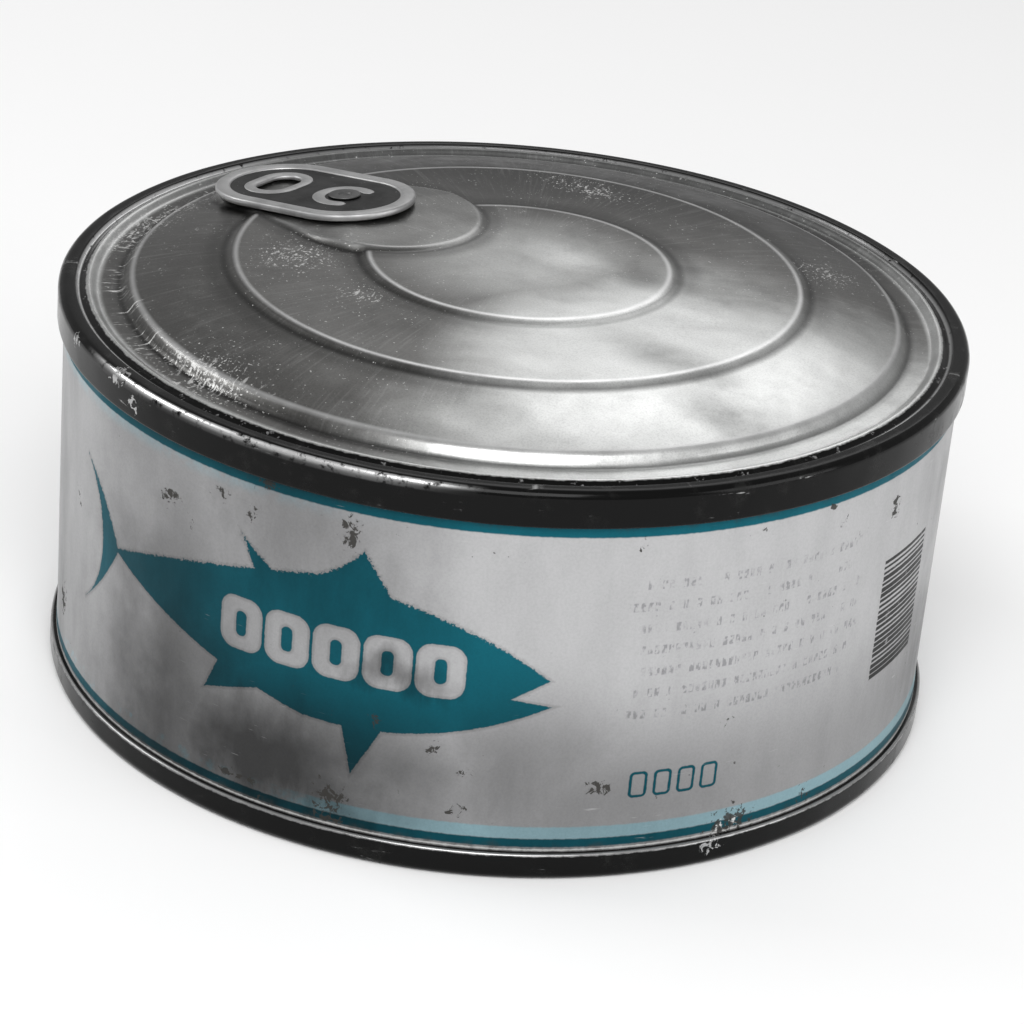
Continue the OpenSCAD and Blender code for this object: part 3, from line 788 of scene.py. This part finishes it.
def base_finish(colours, ends):
    """Black lacquered seam that the can stands on, and tinplate inside it."""
    f = Finish("base_lacquer")
    flat = f.join(f.x, f.y)
    radius = f.vector("LENGTH", flat, out="Value")
    scratch, scuff, chip = lacquer_marks(f)
    worn = f.noise(0.9, 5.0, 0.68)
    cloud = f.noise(0.06, 5.0, 0.62, 0.4)
    grain = f.noise(3.0, 3.0, 0.7)
    foot_in = (SEAM_R - ends.base_seam_width) / MM
    lacquered = f.smooth(radius + (worn - 0.5) * 1.2, foot_in - 0.6, foot_in - 0.4)
    top_mm = ends.base_seam_height / MM
    wear_top = f.smooth(f.z + (worn - 0.5) * 0.4, top_mm - 0.3, top_mm - 0.12)
    wear_top = wear_top * f.smooth(radius, SEAM_R / MM - 0.4, SEAM_R / MM - 0.22)
    stood = f.smooth(f.z + (worn - 0.5) * 0.8, 0.12, 0.0) * 0.6
    rubbed = most(wear_top * 0.8, stood, scratch * 0.8, chip)
    metal = f.mix(f.smooth(cloud, 0.35, 0.68, 0.45, 0.75), colours.tinplate, colours.tarnish)
    panel_in = (SEAM_R - ends.base_seam_width - ends.base_lean - ends.groove_width) / MM
    outer_r = panel_in - ends.base_outer_in / MM
    ring_lines = most(
        f.smooth(abs(radius - panel_in), 0.9, 0.1),
        f.smooth(abs(radius - outer_r), 0.9, 0.1),
        f.smooth(abs(radius - outer_r + ends.base_pitch / MM), 0.9, 0.1),
    )
    metal = f.mix(ring_lines * 0.5, metal, colours.tarnish)
    metal = f.mix(f.smooth(worn, 0.7, 0.76) * 0.8, metal, HAIRLINE)
    base = f.mix(lacquered, metal, black_lacquer(f, colours, scuff, rubbed))
    relief = grain * 0.3 - chip * 1.5 * lacquered
    return end_surface(f, base, lacquered, rubbed, scuff, 0.34 + worn * 0.15, relief)


def tab_finish(colours, name, tone):
    """Satin sheet metal with handling marks. Tone is 1 for the rim and less for the web, whose low
    tone is painted shade in the tab's recess.
    """
    f = Finish(name)
    cloud = f.noise(0.22, 4.0, 0.6)
    worn = f.noise(1.4, 5.0, 0.66)
    lines = f.noise(1.0, 3.0, 0.7, at=f.stretched(0.5, 6.0, 1.0))
    grain = f.noise(5.0, 3.0, 0.7)
    light = dulled(colours.tab_metal, tone)
    metal = f.mix(f.smooth(cloud, 0.35, 0.7), light, dulled(light, 0.7))
    metal = f.mix(f.smooth(worn, 0.66, 0.74) * 0.5, metal, dulled(light, 0.4))
    metal = f.mix(f.smooth(worn, 0.34, 0.27) * 0.5, metal, RUBBED_TAB)
    roughness = f.smooth(cloud, 0.3, 0.7, 0.42, 0.54) + lines * 0.06
    normal = f.bump(lines * 0.5 + grain * 0.4, 0.01, 0.9)
    return f.surface(metal, 1.0, roughness, normal)


# ---------------------------------------------------------------- meshes

def eased(value, start, end):
    """0 before start, 1 after end, and a smooth S between them."""
    t = np.clip((value - start) / (end - start), 0, 1)
    return t * t * (3 - 2 * t)


def arc_points(centre, radius, start, end, count=6):
    """Points of an arc, its angles in degrees."""
    angles = np.radians(np.linspace(start, end, count + 1))
    return [(centre[0] + radius * math.cos(a), centre[1] + radius * math.sin(a)) for a in angles]


def swell_points(start, end, count=8):
    """Points of an S that starts and ends level."""
    along = np.linspace(0, 1, count + 1)
    up = (1 - np.cos(math.pi * along)) / 2
    run, rise = np.subtract(end, start)
    return [(start[0] + run * a, start[1] + rise * b) for a, b in zip(along, up)]


def gentle_waves(points, pitch, seed):
    """Smooth unevenness from -1 to 1: a few sine waves in fixed random directions."""
    chooser = np.random.default_rng(seed)
    total = np.zeros(len(points))
    waves = 9
    for _ in range(waves):
        heading = chooser.normal(size=3)
        heading /= np.linalg.norm(heading) * pitch * chooser.uniform(0.6, 1.6)
        total += np.sin(points @ heading * 2 * math.pi + chooser.uniform(0, 2 * math.pi))
    return total / waves * 1.6


def press_in(points, mask, radius, depth, pitch, seed):
    """Moves points inwards by gentle waves, where the mask lets them."""
    dents = 0.5 * (1 + gentle_waves(points, pitch, seed)) * depth
    points[:, :2] *= (1 - np.clip(dents, 0, None) * mask / radius)[:, None]


def add_object(name, points, faces, materials, face_materials=None, node=None):
    """A smooth mesh object that rides on the can, and stands for a node if one is named."""
    mesh = bpy.data.meshes.new(name)
    mesh.from_pydata(np.asarray(points).tolist(), [], [tuple(face) for face in faces])
    mesh.validate()
    for material in materials:
        mesh.materials.append(material)
    if face_materials is not None:
        mesh.polygons.foreach_set("material_index", np.asarray(face_materials, dtype=np.int32))
    mesh.polygons.foreach_set("use_smooth", np.ones(len(mesh.polygons), dtype=bool))
    mesh.update()
    piece = bpy.data.objects.new(name, mesh)
    bpy.context.scene.collection.objects.link(piece)
    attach(piece, "root")
    if node:
        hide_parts(node)


def turned_grid(stations, steps):
    """Points and faces turned round Z from stations, which keep the outside on their right."""
    rings = [s for s in stations if s[0] > 1e-7]
    angles = np.linspace(0, 2 * math.pi, steps, endpoint=False)
    spread = np.stack([np.cos(angles), np.sin(angles)], axis=1)
    points = np.concatenate([np.column_stack([spread * r, np.full(steps, z)]) for r, z in rings])
    here = np.arange(steps)
    after = (here + 1) % steps
    faces = []
    for ring in range(len(rings) - 1):
        low = ring * steps
        high = low + steps
        faces += np.column_stack([low + here, low + after, high + after, high + here]).tolist()
    if stations[-1][0] <= 1e-7:
        last = (len(rings) - 1) * steps
        faces += np.column_stack([last + here, last + after, np.full(steps, len(points))]).tolist()
        points = np.vstack([points, [0, 0, stations[-1][1]]])
    elif stations[0][0] <= 1e-7:
        faces += np.column_stack([after, here, np.full(steps, len(points))]).tolist()
        points = np.vstack([points, [0, 0, stations[0][1]]])
    return points, faces


def tube_faces(rings, count, closed):
    """Faces between rings that have the same count of points each, and over the two open ends."""
    faces = []
    for ring in range(rings if closed else rings - 1):
        here = ring * count
        after = (ring + 1) % rings * count
        for j in range(count):
            k = (j + 1) % count
            faces.append((here + j, after + j, after + k, here + k))
    if not closed:
        faces.append(tuple(range(count)))
        faces.append(tuple(range((rings - 1) * count, rings * count))[::-1])
    return faces


def swept_tube(path, outward, section):
    """Points and faces of a section carried round a flat path. Section is (outwards, up) pairs."""
    points = []
    for place, out in zip(path, outward):
        for across, up in section:
            points.append((place[0] + out[0] * across, place[1] + out[1] * across, up))
    return points, tube_faces(len(path), len(section), closed=True)


def stadium_path(side, radius, steps):
    """Anticlockwise path of two half circles whose middles are side apart along X, with normals."""
    path = []
    outward = []
    for middle, start in ((side / 2, -90), (-side / 2, 90)):
        for angle in np.radians(np.linspace(start, start + 180, steps + 1)):
            normal = (math.cos(angle), math.sin(angle))
            path.append((middle + radius * normal[0], radius * normal[1]))
            outward.append(normal)
    return path, outward


def rounded_section(width, low, high, power=2.6, count=20):
    """Clockwise section between two heights: an ellipse with fuller corners."""
    points = []
    for angle in np.linspace(0, 2 * math.pi, count, endpoint=False):
        c = math.cos(angle)
        s = math.sin(angle)
        across = math.copysign(abs(c) ** (2 / power), c) * width / 2
        up = (low + high) / 2 + math.copysign(abs(s) ** (2 / power), s) * (high - low) / 2
        points.append((across, up))
    return points


class Assembly:
    """Joins several sets of points and faces into one mesh."""

    def __init__(self):
        self.points = []
        self.faces = []
        self.materials = []

    def add(self, points, faces, material=0):
        start = len(self.points)
        self.points += [tuple(p) for p in points]
        self.faces += [tuple(start + i for i in face) for face in faces]
        self.materials += [material] * len(faces)


def pierced_plate(outlines, low, high, bevel):
    """Points and faces of a flat plate with holes: the first outline is its edge."""
    curve = bpy.data.curves.new("plate_outline", "CURVE")
    curve.dimensions = "2D"
    curve.fill_mode = "BOTH"
    curve.extrude = (high - low) / 2 - bevel
    curve.bevel_depth = bevel
    curve.bevel_resolution = 2
    curve.offset = -bevel
    for outline in outlines:
        spline = curve.splines.new("POLY")
        spline.points.add(len(outline) - 1)
        for point, place in zip(spline.points, outline):
            point.co = (place[0], place[1], 0, 1)
        spline.use_cyclic_u = True
    holder = bpy.data.objects.new("plate_outline", curve)
    bpy.context.scene.collection.objects.link(holder)
    shown = holder.evaluated_get(bpy.context.evaluated_depsgraph_get())
    mesh = bpy.data.meshes.new_from_object(shown)
    points = [(v.co.x, v.co.y, v.co.z + (low + high) / 2) for v in mesh.vertices]
    faces = [tuple(p.vertices) for p in mesh.polygons]
    bpy.data.objects.remove(holder)
    bpy.data.curves.remove(curve)
    bpy.data.meshes.remove(mesh)
    return points, faces


class PanelShape:
    """Radii and heights of the bowed top panel, worked out from the sizes."""

    def __init__(self, ends, tab):
        self.ends = ends
        self.tab = tab
        self.seam_in = SEAM_R - ends.seam_width
        self.bead = self.seam_in - ends.bead_width / 2
        self.groove_out = self.seam_in - ends.bead_width
        self.groove_in = self.groove_out - ends.groove_width
        self.outer = self.groove_in - ends.step_width
        self.middle_foot = self.outer - ends.outer_slope
        self.middle = self.middle_foot - ends.step_width
        self.inner_foot = self.middle - ends.middle_slope
        self.inner = self.inner_foot - ends.step_width
        self.groove_z = ends.crest - ends.groove_depth
        self.centre_z = self.groove_z + sum((
            ends.outer_step, ends.outer_rise, ends.middle_step, ends.middle_rise,
            ends.inner_step, ends.centre_rise,
        ))
        self.pad_z = self.centre_z + tab.pad_rise
        self.pad_bend = self.inner_foot + tab.pad_bend
        self.tab_r = self.outer - tab.edge_gap - tab.length / 2
        self.tab_z = self.pad_height(self.tab_r) + tab.gap / math.cos(tab.tilt)

    def pad_height(self, radius):
        return self.pad_z - np.maximum(radius - self.pad_bend, 0) * math.tan(self.tab.tilt)

    def bowed(self, radius, start, end, rise):
        """Bowed stretch between two radii, which flattens towards its inner end."""
        roundness = 0.35
        t = np.clip((start - radius) / (start - end), 0, 1)
        return rise * (t + roundness * t * (1 - t))

    def height(self, radius):
        ends = self.ends
        return (
            self.groove_z
            + ends.outer_step * eased(-radius, -self.groove_in, -self.outer)
            + self.bowed(radius, self.outer, self.middle_foot, ends.outer_rise)
            + ends.middle_step * eased(-radius, -self.middle_foot, -self.middle)
            + self.bowed(radius, self.middle, self.inner_foot, ends.middle_rise)
            + ends.inner_step * eased(-radius, -self.inner_foot, -self.inner)
            + self.bowed(radius, self.inner, 0, ends.centre_rise)
        )

    def pad_distance(self, x, y):
        """Signed distance to the pad's outline, positive inside."""
        tab = self.tab
        tail_x = -(self.outer - tab.pad_edge_gap - tab.pad_tail)
        head_x = tail_x + tab.pad_length
        slope = (tab.pad_round - tab.pad_tail) / tab.pad_length
        across = np.abs(y)
        along = x - tail_x + across * slope / math.sqrt(1 - slope**2)
        along = np.clip(along, 0, tab.pad_length)
        reach = np.hypot(x - tail_x - along, across)
        return tab.pad_tail + along * slope - reach


# ---------------------------------------------------------------- operators

class CAN_OT_wall(Operator):
    """Make the printed wall"""

    bl_idname = "can.wall"
    bl_label = "Printed wall"

    def execute(self, context):
        ends = context.scene.can_ends
        tuck = 0.3 * MM
        heights = np.linspace(ends.base_seam_height - tuck, SEAM_UNDERSIDE + tuck, 64)
        points, faces = turned_grid([(WALL_R, z) for z in heights], TURN_STEPS)
        held = 4 * MM
        free = eased(points[:, 2], heights[0], heights[0] + held)
        free *= eased(-points[:, 2], -heights[-1], -heights[-1] + held)
        press_in(points, free, WALL_R, WALL_DENTS, pitch=0.045, seed=4)
        finish = print_finish(context.scene.can_colours)
        add_object("printed_wall", points, faces, [finish], node="body")
        return {"FINISHED"}


class CAN_OT_top_end(Operator):
    """Make the pressed top end with its seam and pad"""

    bl_idname = "can.top_end"
    bl_label = "Top end"

    def execute(self, context):
        scene = context.scene
        ends = scene.can_ends
        tab = scene.can_tab
        shape = PanelShape(ends, tab)
        crest = ends.crest
        low = SEAM_UNDERSIDE
        stations = [(WALL_R - ends.curl, low), (WALL_R, low)]
        stations += arc_points((SEAM_R - ends.curl, low + ends.curl), ends.curl, -90, 0)
        shoulder = crest - ends.seam_round
        stations += [(SEAM_R, z) for z in np.linspace(low + 2 * ends.curl, shoulder - 0.1 * MM, 8)]
        stations += arc_points((SEAM_R - ends.seam_round, shoulder), ends.seam_round, 0, 90, 12)
        valley = (shape.seam_in, crest - ends.valley_depth)
        stations += swell_points((shape.seam_in + ends.inner_round, crest), valley)
        stations += swell_points(valley, (shape.bead, crest), 10)[1:]
        stations += swell_points((shape.bead, crest), (shape.groove_out, shape.groove_z), 10)[1:]
        spacing = 0.32 * MM
        count = int(shape.groove_out / spacing)
        panel_radii = np.linspace(shape.groove_out, 0, count + 1)[1:]
        softened = self.softened_height(shape, panel_radii)
        stations += list(zip(panel_radii, softened))
        points, faces = turned_grid(stations, TURN_STEPS)
        self.press_pad(shape, points)
        radius = np.hypot(points[:, 0], points[:, 1])
        on_panel = eased(-radius, -shape.groove_in, -shape.middle)
        points[:, 2] += gentle_waves(points, 0.03, 7) * 0.05 * MM * on_panel
        seam = eased(radius, shape.groove_out, shape.seam_in)
        press_in(points, seam, SEAM_R, SEAM_DENTS, pitch=0.02, seed=11)
        metal = top_end_finish(scene.can_colours, ends, tab)
        add_object("top_end_sheet", points, faces, [metal], node="top_end")
        return {"FINISHED"}

    def softened_height(self, shape, radii):
        """The panel's height with its corners rounded as pressing rounds them."""
        fine = 0.02 * MM
        reach = 0.22 * MM
        line = np.arange(-30 * reach, shape.groove_out + 30 * reach, fine)
        heights = shape.height(np.abs(line))
        weights = np.exp(-0.5 * (np.arange(-4 * reach, 4 * reach, fine) / reach) ** 2)
        smooth = np.convolve(heights, weights / weights.sum(), "same")
        return np.interp(radii, line, smooth)

    def press_pad(self, shape, points):
        """Raises the drop-shaped pad under the tab."""
        distance = shape.pad_distance(points[:, 0], points[:, 1])
        edge = 0.45 * MM
        lift = eased(distance, -edge, edge)
        pad = shape.pad_height(np.hypot(points[:, 0], points[:, 1]))
        points[:, 2] += (pad - points[:, 2]) * lift


class CAN_OT_base(Operator):
    """Make the bottom end that the can stands on"""

    bl_idname = "can.base"
    bl_label = "Bottom end"

    def execute(self, context):
        ends = context.scene.can_ends
        foot_in = SEAM_R - ends.base_seam_width
        chuck = foot_in - ends.base_lean
        panel = chuck - ends.groove_width
        outer = panel - ends.base_outer_in
        inner = outer - ends.base_pitch
        step = ends.step_width
        high = ends.base_recess
        low = high - ends.base_ring
        stations = [(0, low)] + [(r, low) for r in np.linspace(3 * MM, inner - step, 12)]
        for ring, end in ((inner, outer - step), (outer, panel - step)):
            stations += swell_points((ring - step, low), (ring, high))[1:]
            stations += swell_points((ring, high), (ring + step, low))[1:]
            stations += [(r, low) for r in np.linspace(ring + step, end, 12)[1:]]
        stations += swell_points((panel - step, low), (panel, high))[1:]
        stations += [(r, high) for r in np.linspace(panel, chuck, 6)[1:]]
        inner_round = ends.inner_round
        seam_round = ends.seam_round
        top = ends.base_seam_height
        stations += arc_points((foot_in + inner_round, inner_round), inner_round, 180, 270)
        stations += arc_points((SEAM_R - seam_round, seam_round), seam_round, -90, 0, 10)
        stations += [(SEAM_R, z) for z in np.linspace(seam_round + 0.2 * MM, top - 2 * ends.curl, 5)]
        stations += arc_points((SEAM_R - ends.curl, top - ends.curl), ends.curl, 0, 90)
        stations += [(WALL_R - ends.curl, top)]
        points, faces = turned_grid(stations, TURN_STEPS)
        seam = eased(np.hypot(points[:, 0], points[:, 1]), foot_in, WALL_R)
        press_in(points, seam, SEAM_R, SEAM_DENTS, pitch=0.02, seed=17)
        finish = base_finish(context.scene.can_colours, ends)
        add_object("bottom_end_sheet", points, faces, [finish], node="bottom_end")
        return {"FINISHED"}


class CAN_OT_tab(Operator):
    """Make the pull tab and the rivet's head"""

    bl_idname = "can.tab"
    bl_label = "Pull tab"

    def execute(self, context):
        scene = context.scene
        tab = scene.can_tab
        shape = PanelShape(scene.can_ends, tab)
        made = Assembly()
        self.rim(made, tab)
        self.web(made, tab)
        self.finger_ring(made, tab)
        self.tongue(made, tab)
        place = Matrix.Translation((-shape.tab_r, 0, shape.tab_z))
        place = place @ Matrix.Rotation(-tab.tilt, 4, "Y") @ Matrix.Rotation(math.pi, 4, "Z")
        points = [place @ Vector(p) for p in made.points]
        rim_metal = tab_finish(scene.can_colours, "tab_metal", 1.0)
        # painted shade: the recessed web is the rim's metal at a far lower tone
        shaded_web_metal = tab_finish(scene.can_colours, "tab_web_shaded", 0.09)
        rivet_metal = tab_finish(scene.can_colours, "rivet_metal", 0.3)
        metals = [rim_metal, shaded_web_metal]
        add_object("pull_tab", points, made.faces, metals, made.materials, node="tab")
        points, faces = self.rivet_shape(tab)
        points = [place @ Vector(p) for p in points]
        add_object("rivet_head", points, faces, [rivet_metal])
        return {"FINISHED"}

    def rim(self, made, tab):
        middle = (tab.width - tab.rim_width) / 2
        path, outward = stadium_path(tab.length - tab.width, middle, 48)
        section = rounded_section(tab.rim_width, 0, tab.thickness, power=3.6)
        made.add(*swept_tube(path, outward, section))

    def web(self, made, tab):
        low = (tab.thickness - tab.web) / 2
        edge, _ = stadium_path(tab.length - tab.width, tab.width / 2 - tab.rim_width * 0.6, 32)
        hole, _ = stadium_path(tab.hole_length - tab.hole_width, tab.hole_width / 2 + 0.2 * MM, 12)
        hole = [(tab.hole_offset - y, x) for x, y in hole]
        rivet = [
            (-tab.rivet_offset + p[0], p[1])
            for p in arc_points((0, 0), tab.rivet_shank + 0.1 * MM, 0, 360, 32)[:-1]
        ]
        made.add(*pierced_plate([edge, hole, rivet], low, low + tab.web, 0.06 * MM), 1)

    def finger_ring(self, made, tab):
        middle = (tab.hole_width + tab.band_width) / 2
        path, outward = stadium_path(tab.hole_length - tab.hole_width, middle, 24)
        path = [(tab.hole_offset - y, x) for x, y in path]
        outward = [(-y, x) for x, y in outward]
        section = rounded_section(tab.band_width, tab.band_low, tab.thickness - tab.band_low)
        made.add(*swept_tube(path, outward, section))

    def tongue(self, made, tab):
        radius = tab.tongue_inner + tab.tongue_width / 2
        half = math.pi - tab.tongue_gap / 2
        taper = tab.tongue_width / 2 / radius
        base = rounded_section(tab.tongue_width, tab.band_low, tab.thickness - tab.band_low)
        level = tab.thickness / 2
        points = []
        angles = np.linspace(-half, half, 61)
        for angle in angles:
            left = min(half - abs(angle), taper) / taper
            swell = math.sqrt(max(1 - (1 - left) ** 2, 0.02))
            for across, up in base:
                reach = radius + across * swell
                rise = level + (up - level) * (0.6 + 0.4 * swell)
                x = reach * math.cos(angle) - tab.rivet_offset
                points.append((x, reach * math.sin(angle), rise))
        made.add(points, tube_faces(len(angles), len(base), closed=False))

    def rivet_shape(self, tab):
        low = (tab.thickness + tab.web) / 2 + tab.gap
        top = low + tab.head_height
        head = tab.rivet_head
        edge = 0.16 * MM
        dimple = head / 3
        stations = [(tab.rivet_shank, -0.3 * MM), (tab.rivet_shank, low), (head - edge, low)]
        stations += arc_points((head - edge, low + edge), edge, -90, 0, 4)[1:]
        stations += arc_points((head - edge, top - edge), edge, 0, 90, 4)
        stations += swell_points((dimple + 0.3 * MM, top), (dimple - 0.2 * MM, top - 0.25 * MM))
        stations += [(0, top - 0.25 * MM)]
        points, faces = turned_grid(stations, 48)
        points[:, 0] -= tab.rivet_offset
        return points, faces


# name, place, target, size and watts of each soft light
LIGHTS = (
    ("key", (0.35, -0.55, 0.75), (0, 0, 0.02), (0.6, 0.6), 7.0),
    ("back_softbox", (-0.37, 0.8, 0.83), (0.01, 0, 0.045), (0.6, 0.6), 1.45),
    ("left_fill", (-0.7, -0.2, 0.55), (0, 0, 0.03), (0.4, 0.15), 1.8),
    ("right_fill", (0.9, 0.15, 0.3), (0, 0, 0.03), (0.5, 0.5), 2.5),
)


class CAN_OT_stage(Operator):
    """Make the floor, the lights and the camera"""

    bl_idname = "can.stage"
    bl_label = "Stage"

    def execute(self, context):
        scene = context.scene
        stage = scene.can_stage
        self.floor(scene, stage)
        self.world(scene, stage)
        for row in LIGHTS:
            self.light(scene, *row)
        self.camera(scene, stage)
        scene.view_settings.view_transform = "Standard"
        return {"FINISHED"}

    def floor(self, scene, stage):
        half = stage.floor_size / 2
        corners = [(-half, -half, 0), (half, -half, 0), (half, half, 0), (-half, half, 0)]
        mesh = bpy.data.meshes.new("floor")
        mesh.from_pydata(corners, [], [(0, 1, 2, 3)])
        paper = Finish("floor_paper")
        tone = paper.mix(paper.noise(0.01), (0.93, 0.93, 0.93), (0.95, 0.95, 0.95))
        flat = paper.bump(paper.noise(1.0), 0.01, 0.2)
        mesh.materials.append(paper.surface(tone, 0.0, 0.8, flat))
        floor = bpy.data.objects.new("floor", mesh)
        scene.collection.objects.link(floor)

    def world(self, scene, stage):
        world = bpy.data.worlds.new("studio")
        world.use_nodes = True
        background = world.node_tree.nodes["Background"]
        background.inputs["Color"].default_value = (stage.world, stage.world, stage.world, 1)
        scene.world = world

    def light(self, scene, name, place, target, size, watts):
        lamp = bpy.data.lights.new(name, "AREA")
        lamp.shape = "RECTANGLE"
        lamp.size = size[0]
        lamp.size_y = size[1]
        lamp.energy = watts
        holder = bpy.data.objects.new(name, lamp)
        holder.location = place
        holder.rotation_euler = (Vector(target) - Vector(place)).to_track_quat("-Z", "Y").to_euler()
        scene.collection.objects.link(holder)

    def camera(self, scene, stage):
        lens = bpy.data.cameras.new("camera")
        lens.lens = stage.lens
        lens.sensor_width = 36
        holder = bpy.data.objects.new("camera", lens)
        tilt, roll, heading = stage.camera_turn
        turn = Matrix.Rotation(heading, 4, "Z") @ Matrix.Rotation(tilt, 4, "X")
        turn = turn @ Matrix.Rotation(roll, 4, "Z")
        holder.matrix_world = Matrix.Translation(stage.camera_place) @ turn
        scene.collection.objects.link(holder)
        scene.camera = holder


class CAN_PT_sidebar(Panel):
    """Lists the operators in the 3D view's sidebar"""

    bl_idname = "CAN_PT_sidebar"
    bl_label = "Food can"
    bl_space_type = "VIEW_3D"
    bl_region_type = "UI"
    bl_category = "Food can"

    def draw(self, context):
        for operator in OPERATORS:
            self.layout.operator(operator.bl_idname)


GROUPS = {
    "can_ends": CanEndSizes,
    "can_tab": CanTabSizes,
    "can_colours": CanColours,
    "can_stage": CanStage,
}
OPERATORS = (CAN_OT_wall, CAN_OT_top_end, CAN_OT_base, CAN_OT_tab, CAN_OT_stage)


def register():
    for group in GROUPS.values():
        bpy.utils.register_class(group)
    for name, group in GROUPS.items():
        setattr(bpy.types.Scene, name, PointerProperty(type=group))
    for made in (*OPERATORS, CAN_PT_sidebar):
        bpy.utils.register_class(made)


def unregister():
    for made in (CAN_PT_sidebar, *reversed(OPERATORS)):
        bpy.utils.unregister_class(made)
    for name, group in GROUPS.items():
        delattr(bpy.types.Scene, name)
        bpy.utils.unregister_class(group)


def main():
    register()
    bpy.ops.can.wall()
    bpy.ops.can.top_end()
    bpy.ops.can.base()
    bpy.ops.can.tab()
    bpy.ops.can.stage()


if __name__ == "__main__":
    main()
